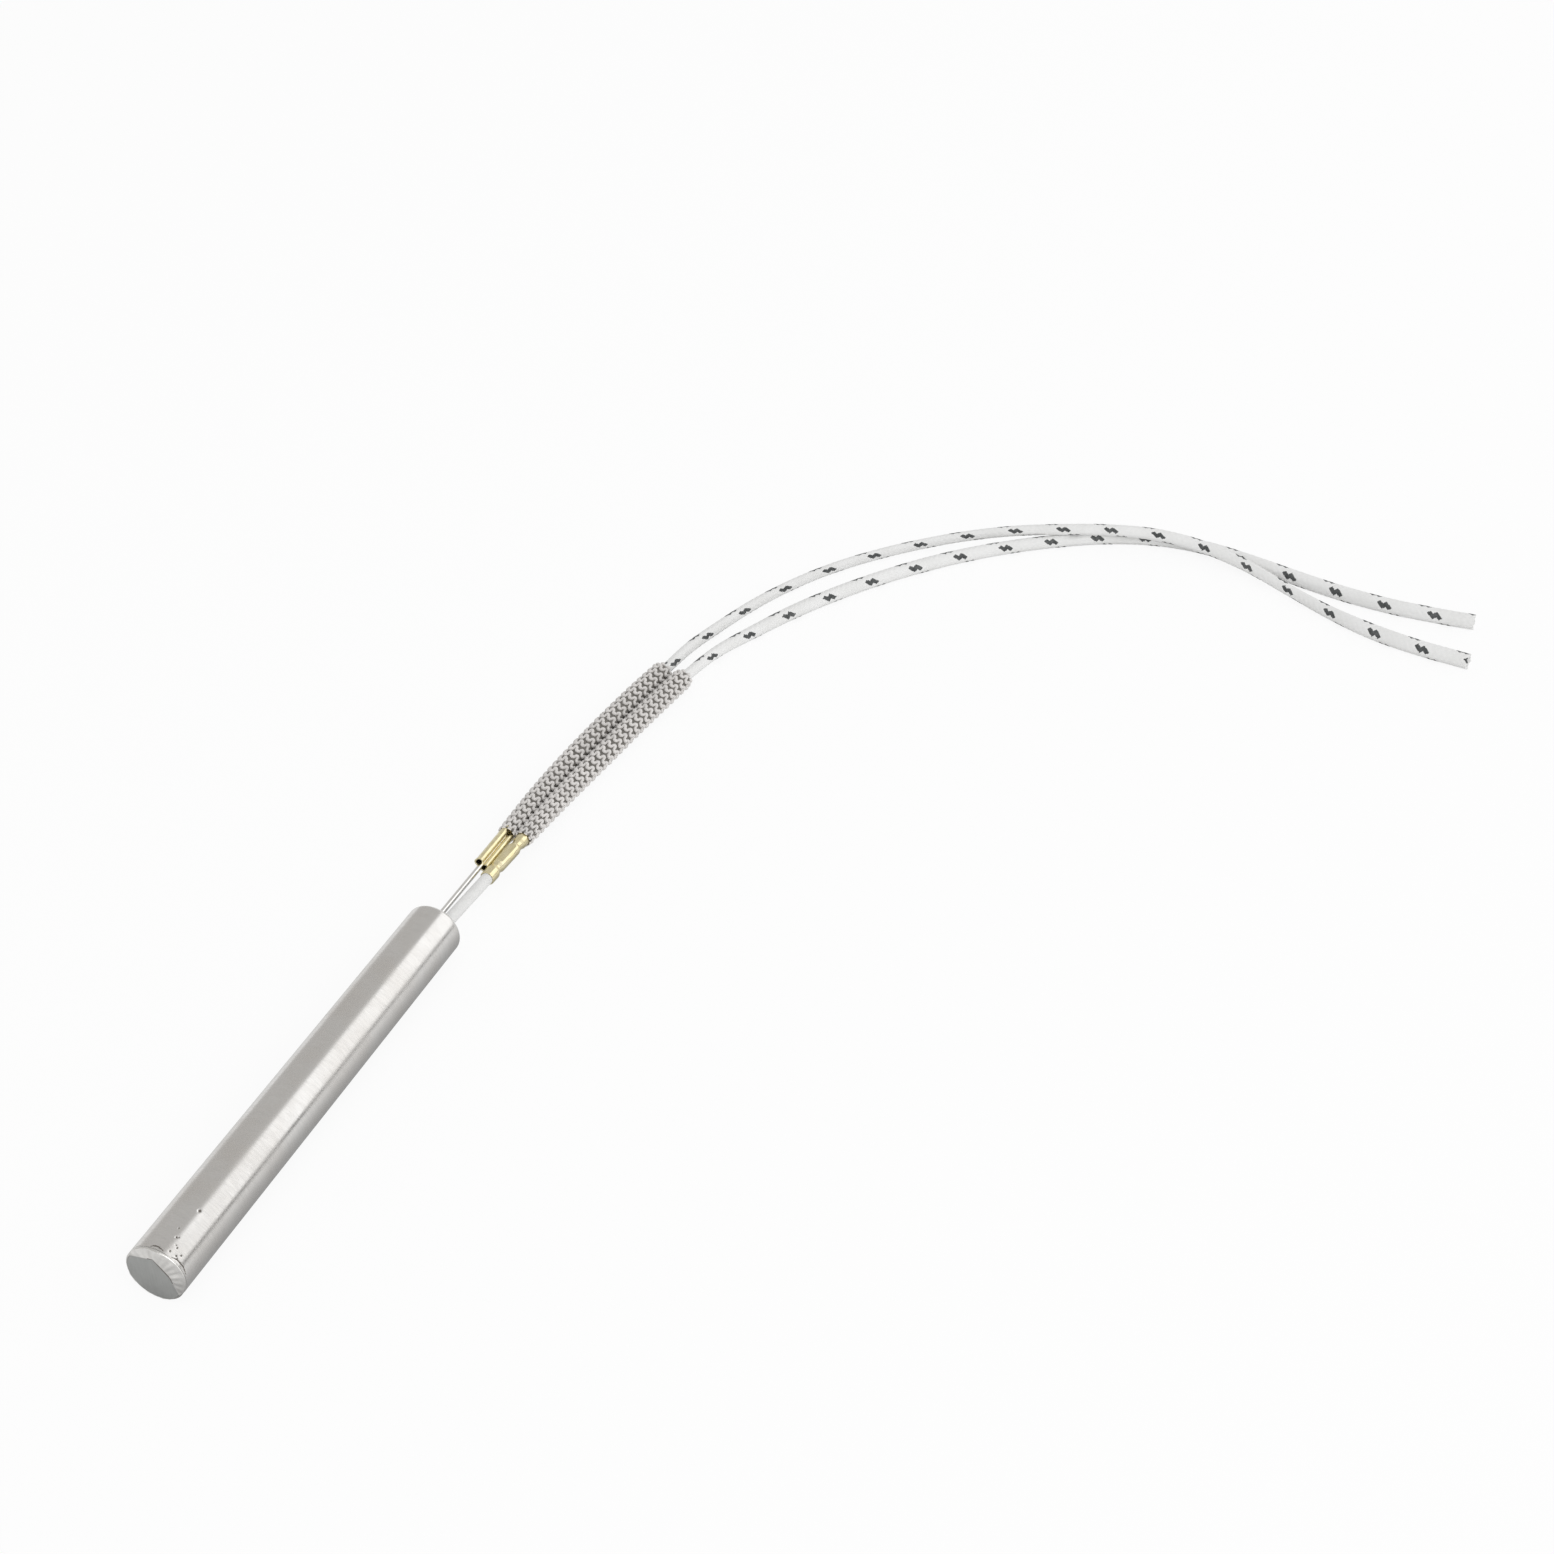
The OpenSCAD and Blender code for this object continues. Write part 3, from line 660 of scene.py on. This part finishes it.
def drawnSheath(s=sheathTube):
    fine = np.arange(s["from"] + s["edge"], s["fineTo"], s["fineStep"])
    x = np.concatenate([fine, np.arange(s["fineTo"], s["rimFrom"], s["step"])])
    bend = np.linspace(0, turn / 4, s["rimSteps"])
    middle = s["radius"] - s["rim"]
    profile = [(s["from"], s["radius"] - s["edge"])] + [(v, s["radius"]) for v in x]
    profile += [(s["rimFrom"] + s["rim"] * math.sin(b), middle + s["rim"] * math.cos(b)) for b in bend]
    profile += [(s["rimFrom"] + s["rim"], s["lip"]), (s["rimFrom"], s["lip"]), (s["rimFrom"], s["bore"])]
    profile += [(s["from"], s["bore"])]
    at, r = np.array(profile).T
    a = np.arange(s["sides"]) * turn / s["sides"]
    radius = np.repeat(r[:, None], s["sides"], 1)
    outside = np.arange(len(at)) <= len(x)
    sunk, dark = np.zeros_like(radius), np.zeros(radius.shape, bool)
    for place, angle, width, depth in sheathMarks():
        across = (np.mod(a - math.radians(angle) + math.pi, turn) - math.pi) * s["radius"]
        away = ((at[:, None] - place) ** 2 + across[None] ** 2) / width ** 2
        sunk = np.maximum(sunk, depth * np.exp(-away) * outside[:, None])
        # faces in the middle of each pit and scratch get painted shade
        dark |= (away < s["darkShare"]) & outside[:, None]
    radius -= sunk
    x = np.repeat(at[:, None], s["sides"], 1)
    points = np.stack([x, radius * np.cos(a), radius * np.sin(a)], -1).reshape(-1, 3)
    faces = gridFaces(len(at), s["sides"], flip=True, loop=True)
    pick = dark.reshape(-1).astype(int)
    obj = addMesh("sheathTube", points, faces, [finish["sheathSteel"], finish["paintedRecessShade"]], pick)
    return settle(obj, "sheath_steel", "sheath")


# weld metal round the end disc, ground to a bevel and three shallow facets
weldBand = {
    "face": -42.5, "back": -41.5, "radius": 4.985, "rim": 0.3, "bevel": 0.25, "tilt": 17.0,
    "facets": [(80, 3.4), (140, 2.5), (161, 2.8)], "sides": 360, "rows": 30, "blend": 8.0,
    "wave": 0.03, "waves": [(5, 1), (9, 2.2), (23, 0)], "darkRows": 2, "darkFrom": 78, "darkTo": 186,
}


def groundWeld(w=weldBand):
    a = np.arange(w["sides"]) * turn / w["sides"]
    reach = np.full(w["sides"], w["radius"] - w["rim"])
    for angle, edge in w["facets"]:
        c = np.cos(a - math.radians(angle))
        reach = np.minimum(reach, edge / np.maximum(c, edge / w["radius"]))
    share = np.linspace(0, 1, w["rows"])[:, None]
    r = reach + (w["radius"] - reach) * share
    cuts = [np.maximum(0, r - w["radius"] + w["bevel"])]
    slope = math.tan(math.radians(w["tilt"]))
    for angle, edge in w["facets"]:
        cuts.append(slope * np.maximum(0, r * np.cos(a - math.radians(angle)) - edge))
    cut = np.sum(np.array(cuts) ** w["blend"], 0) ** (1 / w["blend"])
    ripple = sum(np.sin(count * a + shift) for count, shift in w["waves"])
    x = w["face"] + cut + w["wave"] * share * (1 - share) * 4 * ripple
    back = np.full((1, w["sides"]), w["back"])
    x = np.concatenate([x, back, back])
    r = np.concatenate([r, np.full((1, w["sides"]), w["radius"]), reach[None]])
    points = np.stack([x, r * np.cos(a), r * np.sin(a)], -1).reshape(-1, 3)
    faces = gridFaces(len(x), w["sides"], flip=True, loop=True)
    # the weld's first rows on the upper side, next to the disc, get painted shade
    upper = (a > math.radians(w["darkFrom"])) & (a < math.radians(w["darkTo"]))
    dark = (np.arange(len(x))[:, None] < w["darkRows"]) & upper[None]
    pick = dark.reshape(-1).astype(int)
    obj = addMesh("weldBand", points, faces, [finish["weldSteel"], finish["paintedRecessShade"]], pick)
    return settle(obj, "weld_steel", "end_weld")


# open-barrel splice: a strip rolled into two lobes over the pin, its seam turned towards the other pin
crimpA = {
    "from": 19.8, "to": 30.7, "roll": 45.0, "lobe": 0.72, "across": 0.7, "height": 0.32, "strip": 0.28,
    "pin": 0.5, "farthest": 2, "tries": 3000, "sides": 180, "rows": 60, "edgeRows": 6, "round": 0.07,
    "flare": 0.09, "flareLength": 0.5, "ripple": 0.03, "rippleRate": 1.7, "seamDip": 0.1, "seamWidth": 0.16,
    "innerFlare": 0.8, "innerRound": 0.5,
}


# reach of the strip's outline from the pin's axis, drawn in by t
def spliceReach(angles, t, c=crimpA):
    r = np.linspace(0, c["farthest"], c["tries"])
    y, z = r * np.cos(angles)[:, None], r * np.sin(angles)[:, None]
    low = c["lobe"] - c["strip"] - c["pin"]
    size, across, high = c["lobe"] - t, c["across"], c["height"]
    inside = (np.abs(y) < across + size) & (z > low) & (z < high)
    inside |= (np.abs(y) < across) & (z > low - size) & (z < high)
    for level in (low, high):
        inside |= (np.abs(y) - across) ** 2 + (z - level) ** 2 < size ** 2
    return np.max(np.where(inside, r, 0), 1)


def rolledSplice(c=crimpA):
    angles = np.arange(c["sides"]) * turn / c["sides"]
    length = c["to"] - c["from"]
    edge = c["round"] * (1 - np.cos(np.linspace(0, turn / 4, c["edgeRows"])))
    past = c["round"] * 1.5
    middle = np.linspace(past, length - past, c["rows"])
    at = np.concatenate([edge, middle, length - edge[::-1]])
    end = np.minimum(at, length - at)
    inset = c["round"] * (1 - np.sqrt(np.clip(1 - (1 - np.minimum(end / c["round"], 1)) ** 2, 0, 1)))
    swell = c["flare"] * np.exp(-end / c["flareLength"]) - c["ripple"] * np.sin(at * c["rippleRate"]) ** 2
    seam = c["seamDip"] * np.exp(-((angles - turn / 4) / c["seamWidth"]) ** 2)
    outer = spliceReach(angles, 0)[None] + swell[:, None] - inset[:, None] - seam[None]
    inner = spliceReach(angles, c["strip"])[None]
    inner = inner + swell[:, None] * c["innerFlare"] + inset[:, None] * c["innerRound"]
    rows = np.concatenate([at, at[::-1]]) + c["from"]
    points = pinRows("a", rows, np.concatenate([outer, inner[::-1]]), angles, math.radians(c["roll"]))
    faces = gridFaces(len(rows), c["sides"], flip=True, loop=True)
    obj = addMesh("rolledSplice", points, faces, [finish["crimpBrass"]])
    return settle(obj, "crimp_brass", "crimp_a")


# closed barrel splice: belled mouth, pressed middle, rounded upper end
crimpB = {
    "from": 16.8, "to": 30.7, "bell": 1.36, "waist": 1.02, "barrel": 1.24, "bore": 1.13, "boreDepth": 1.5,
    "pinBore": 0.54, "neck": 3.4, "pressed": (4.2, 9.6), "ease": 0.5, "flatTo": 0.2,
    "dent": (7.0, 0.9, 0.1), "dentTurn": 0.36, "dentAcross": 0.5, "sides": 128, "step": 0.07,
}


def barrelProfile(at, c=crimpB):
    length = c["to"] - c["from"]
    neck = length - c["neck"]
    marks = [  # distance from the mouth and radius
        (0, c["bell"] - 0.07), (0.07, c["bell"] - 0.01), (0.3, c["bell"]), (1.9, c["bell"]),
        (3.1, c["waist"]), (4.2, c["barrel"]), (neck - 1, c["barrel"]), (neck, c["waist"]),
        (neck + 0.4, c["waist"]), (neck + 1.4, c["barrel"]), (length - 0.5, c["barrel"]),
        (length - 0.12, c["barrel"] - 0.12), (length, c["barrel"] - 0.34),
    ]
    x, r = np.array(marks).T
    k = np.clip(np.searchsorted(x, at, side="right") - 1, 0, len(x) - 2)
    t = (at - x[k]) / (x[k + 1] - x[k])
    return r[k] + (r[k + 1] - r[k]) * (0.5 - 0.5 * np.cos(math.pi * t))


def pressedBarrel(c=crimpB):
    angles = np.arange(c["sides"]) * turn / c["sides"]
    length = c["to"] - c["from"]
    at = np.linspace(0, length, int(length / c["step"]))
    r = np.repeat(barrelProfile(at)[:, None], c["sides"], 1)
    start, stop = c["pressed"]
    press = np.clip(np.minimum(at - start, stop - at) / c["ease"] + 0.5, 0, 1)[:, None]
    flat = c["barrel"] - (c["barrel"] - c["waist"]) * press * press * (3 - 2 * press)
    r = np.minimum(r, flat / np.maximum(np.abs(np.sin(angles)), c["flatTo"]))
    place, width, depth = c["dent"]
    turned = np.mod(angles - turn * c["dentTurn"] + math.pi, turn) - math.pi
    across = turned * c["barrel"] / c["dentAcross"]
    r -= depth * np.exp(-((at[:, None] - place) / width) ** 2 - across ** 2)
    inside = [(length, c["pinBore"]), (c["boreDepth"], c["pinBore"])]
    inside += [(c["boreDepth"], c["bore"]), (0, c["bore"])]
    rows = np.concatenate([at, [v[0] for v in inside]]) + c["from"]
    radii = np.concatenate([r, [np.full(c["sides"], v[1]) for v in inside]])
    points = pinRows("b", rows, radii, angles)
    faces = gridFaces(len(rows), c["sides"], flip=True, loop=True)
    obj = addMesh("pressedBarrel", points, faces, [finish["crimpBrass"]])
    return settle(obj, "crimp_brass", "crimp_b")


# finely braided insulator on the second pin
insulator = {
    "from": 0.1, "to": 18.4, "radius": 1.1, "bore": 0.51, "yarnsEachWay": 16, "pitch": 9.0, "swing": 0.5,
    "depth": 0.05, "sides": 112, "step": 0.1,
}


def braidedInsulator(n=insulator):
    angles = np.arange(n["sides"]) * turn / n["sides"]
    at = np.linspace(n["from"], n["to"], int((n["to"] - n["from"]) / n["step"]))
    lay = (at * turn / n["pitch"])[:, None]
    height = braidRelief(angles - lay, angles + lay, n["yarnsEachWay"], n["swing"])[0]
    r = n["radius"] + n["depth"] * (height / (1 + n["swing"]) - 1)
    rows = np.concatenate([at, [n["to"], n["from"]]])
    radii = np.concatenate([r, np.full((2, n["sides"]), n["bore"])])
    points = pinRows("b", rows, radii, angles)
    faces = gridFaces(len(rows), n["sides"], flip=True, loop=True)
    obj = addMesh("braidedInsulator", points, faces, [finish["pinSleeve"]])
    return settle(obj, "pin_glass_sleeve", "pin_insulator")


for makePiece in (drawnSheath, groundWeld, rolledSplice, pressedBarrel, braidedInsulator):
    piece = makePiece()
    print(piece.name, "faces", len(piece.data.polygons))

# finishes of the nodes that show as they are
nodeFinish = {
    "end_disc": "discSteel", "end_insulator": "ceramic", "ceramic_core": "ceramic",
    "resistance_winding": "resistanceAlloy", "return_wire": "pinNickel", "magnesia_fill": "ceramic",
    "lead_end_plug": "ceramic", "terminal_pin_a": "pinNickel", "terminal_pin_b": "pinNickel",
    "conductor_a": "pinNickel", "conductor_b": "pinNickel",
}
for name, key in nodeFinish.items():
    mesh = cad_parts[name].data
    mesh.materials.clear()
    mesh.materials.append(finish[key])

# pale floor, soft light, and cards that only reflections see
studio = {
    "floorHalf": 6000, "floorGap": 0.02, "floorGrey": 0.9, "floorRough": 0.9, "floorWhite": 1.0,
    "floorSeen": 0.9, "paintedNearShade": 0.45, "nearFrom": 0.007, "nearOver": 0.012, "worldLight": 0.68,
    "lamps": [
        {"name": "softBox", "at": (0.803, -0.515, 0.41), "away": (0.574, -0.602, 0.553),
         "up": (0, 0.678, 0.735), "size": (0.8, 0.97), "power": 1.3},
        {"name": "fill", "at": (-0.5, -0.75, 0.7), "away": (-0.55, -0.72, 0.7), "up": (0, 0, 1),
         "size": (0.8, 0.8), "power": 4.2},
    ],
    "cardColour": (1, 0.985, 0.965, 1),
    "cards": [  # three corners and a brightness
        {"name": "ceilingCard", "glow": 0.62, "corners": ((-1, -0.3, 1.3), (4, -0.3, 1.3), (-1, 2, 1.3))},
        {"name": "sideCard", "glow": 0.62, "corners": ((-1, 2, 0), (4, 2, 0), (-1, 2, 1.3))},
        {"name": "lowCard", "glow": 0.25, "corners": ((0.2, -1.8, 0), (1.6, -0.8, 0), (0.2, -1.8, 0.27))},
    ],
}


def whiteToViewer(tree, shader, white, seen, mirrored=1.0):
    path = addNode(tree, "ShaderNodeLightPath")
    other = mathNode(tree, "MAXIMUM", path.outputs["Is Glossy Ray"], path.outputs["Is Transmission Ray"])
    direct = mathNode(tree, "MULTIPLY", path.outputs["Is Camera Ray"], seen)
    share = mathNode(tree, "MAXIMUM", direct, other)
    glow = addNode(tree, "ShaderNodeEmission")
    glow.inputs["Color"].default_value = (1, 1, 1, 1)
    lost = mathNode(tree, "MULTIPLY", other, mathNode(tree, "SUBTRACT", mirrored, 1.0))
    dimmed = mathNode(tree, "ADD", 1.0, lost)
    tree.links.new(mathNode(tree, "MULTIPLY", dimmed, white), glow.inputs["Strength"])
    mix = addNode(tree, "ShaderNodeMixShader")
    tree.links.new(share, mix.inputs[0])
    tree.links.new(shader, mix.inputs[1])
    tree.links.new(glow.outputs[0], mix.inputs[2])
    return mix.outputs[0]


# painted shade: a mirrored floor is made dimmer close to the piece that mirrors it, by the length of the
# ray
def floorInMetal(tree, s):
    reach = addNode(tree, "ShaderNodeLightPath").outputs["Ray Length"]
    past = mathNode(tree, "DIVIDE", mathNode(tree, "SUBTRACT", s["nearFrom"], reach), s["nearOver"])
    shade = mathNode(tree, "MULTIPLY", s["paintedNearShade"], mathNode(tree, "EXPONENT", past))
    return mathNode(tree, "SUBTRACT", 1.0, shade)


def layFloor(s):
    m, tree, shader = newMaterial("paleFloor")
    shader.inputs["Base Color"].default_value = (s["floorGrey"],) * 3 + (1,)
    shader.inputs["Roughness"].default_value = s["floorRough"]
    out = whiteToViewer(tree, shader.outputs[0], s["floorWhite"], s["floorSeen"], floorInMetal(tree, s))
    tree.links.new(out, tree.nodes["Material Output"].inputs["Surface"])
    half, z = s["floorHalf"], leadShape["floor"] - s["floorGap"]
    corners = [(-half, -half, z), (half, -half, z), (half, half, z), (-half, half, z)]
    addMesh("paleFloor", corners, [[0, 1, 2, 3]], [m], smooth=False)


def lightWorld(s):
    w = bpy.data.worlds.new("studioWorld")
    w.use_nodes = True
    tree = w.node_tree
    back = tree.nodes["Background"]
    back.inputs["Color"].default_value = (1, 1, 1, 1)
    back.inputs["Strength"].default_value = s["worldLight"]
    out = whiteToViewer(tree, back.outputs[0], 1.0, 1.0)
    tree.links.new(out, tree.nodes["World Output"].inputs["Surface"])
    bpy.context.scene.world = w


def hangLamp(lamp):
    data = bpy.data.lights.new(lamp["name"], "AREA")
    data.shape = "RECTANGLE"
    data.size, data.size_y = lamp["size"]
    data.energy = lamp["power"]
    obj = bpy.data.objects.new(lamp["name"], data)
    obj.location = lamp["at"]
    away = Vector(lamp["away"]).normalized()
    right = Vector(lamp["up"]).cross(away).normalized()
    obj.rotation_euler = Matrix((right, away.cross(right), away)).transposed().to_euler()
    bpy.context.collection.objects.link(obj)


def standCard(c, colour):
    m, _, shader = newMaterial(c["name"])
    shader.inputs["Base Color"].default_value = (0, 0, 0, 1)
    shader.inputs["Emission Color"].default_value = colour
    shader.inputs["Emission Strength"].default_value = c["glow"]
    first, second, third = (Vector(p) / mm for p in c["corners"])
    corners = [first, second, second + third - first, third]
    obj = addMesh(c["name"], corners, [[0, 1, 2, 3]], [m], smooth=False)
    obj.visible_camera = obj.visible_diffuse = obj.visible_shadow = obj.visible_transmission = False


layFloor(studio)
lightWorld(studio)
for lamp in studio["lamps"]:
    hangLamp(lamp)
for card in studio["cards"]:
    standCard(card, studio["cardColour"])
bpy.context.scene.view_settings.view_transform = "Standard"
print("studio lit")
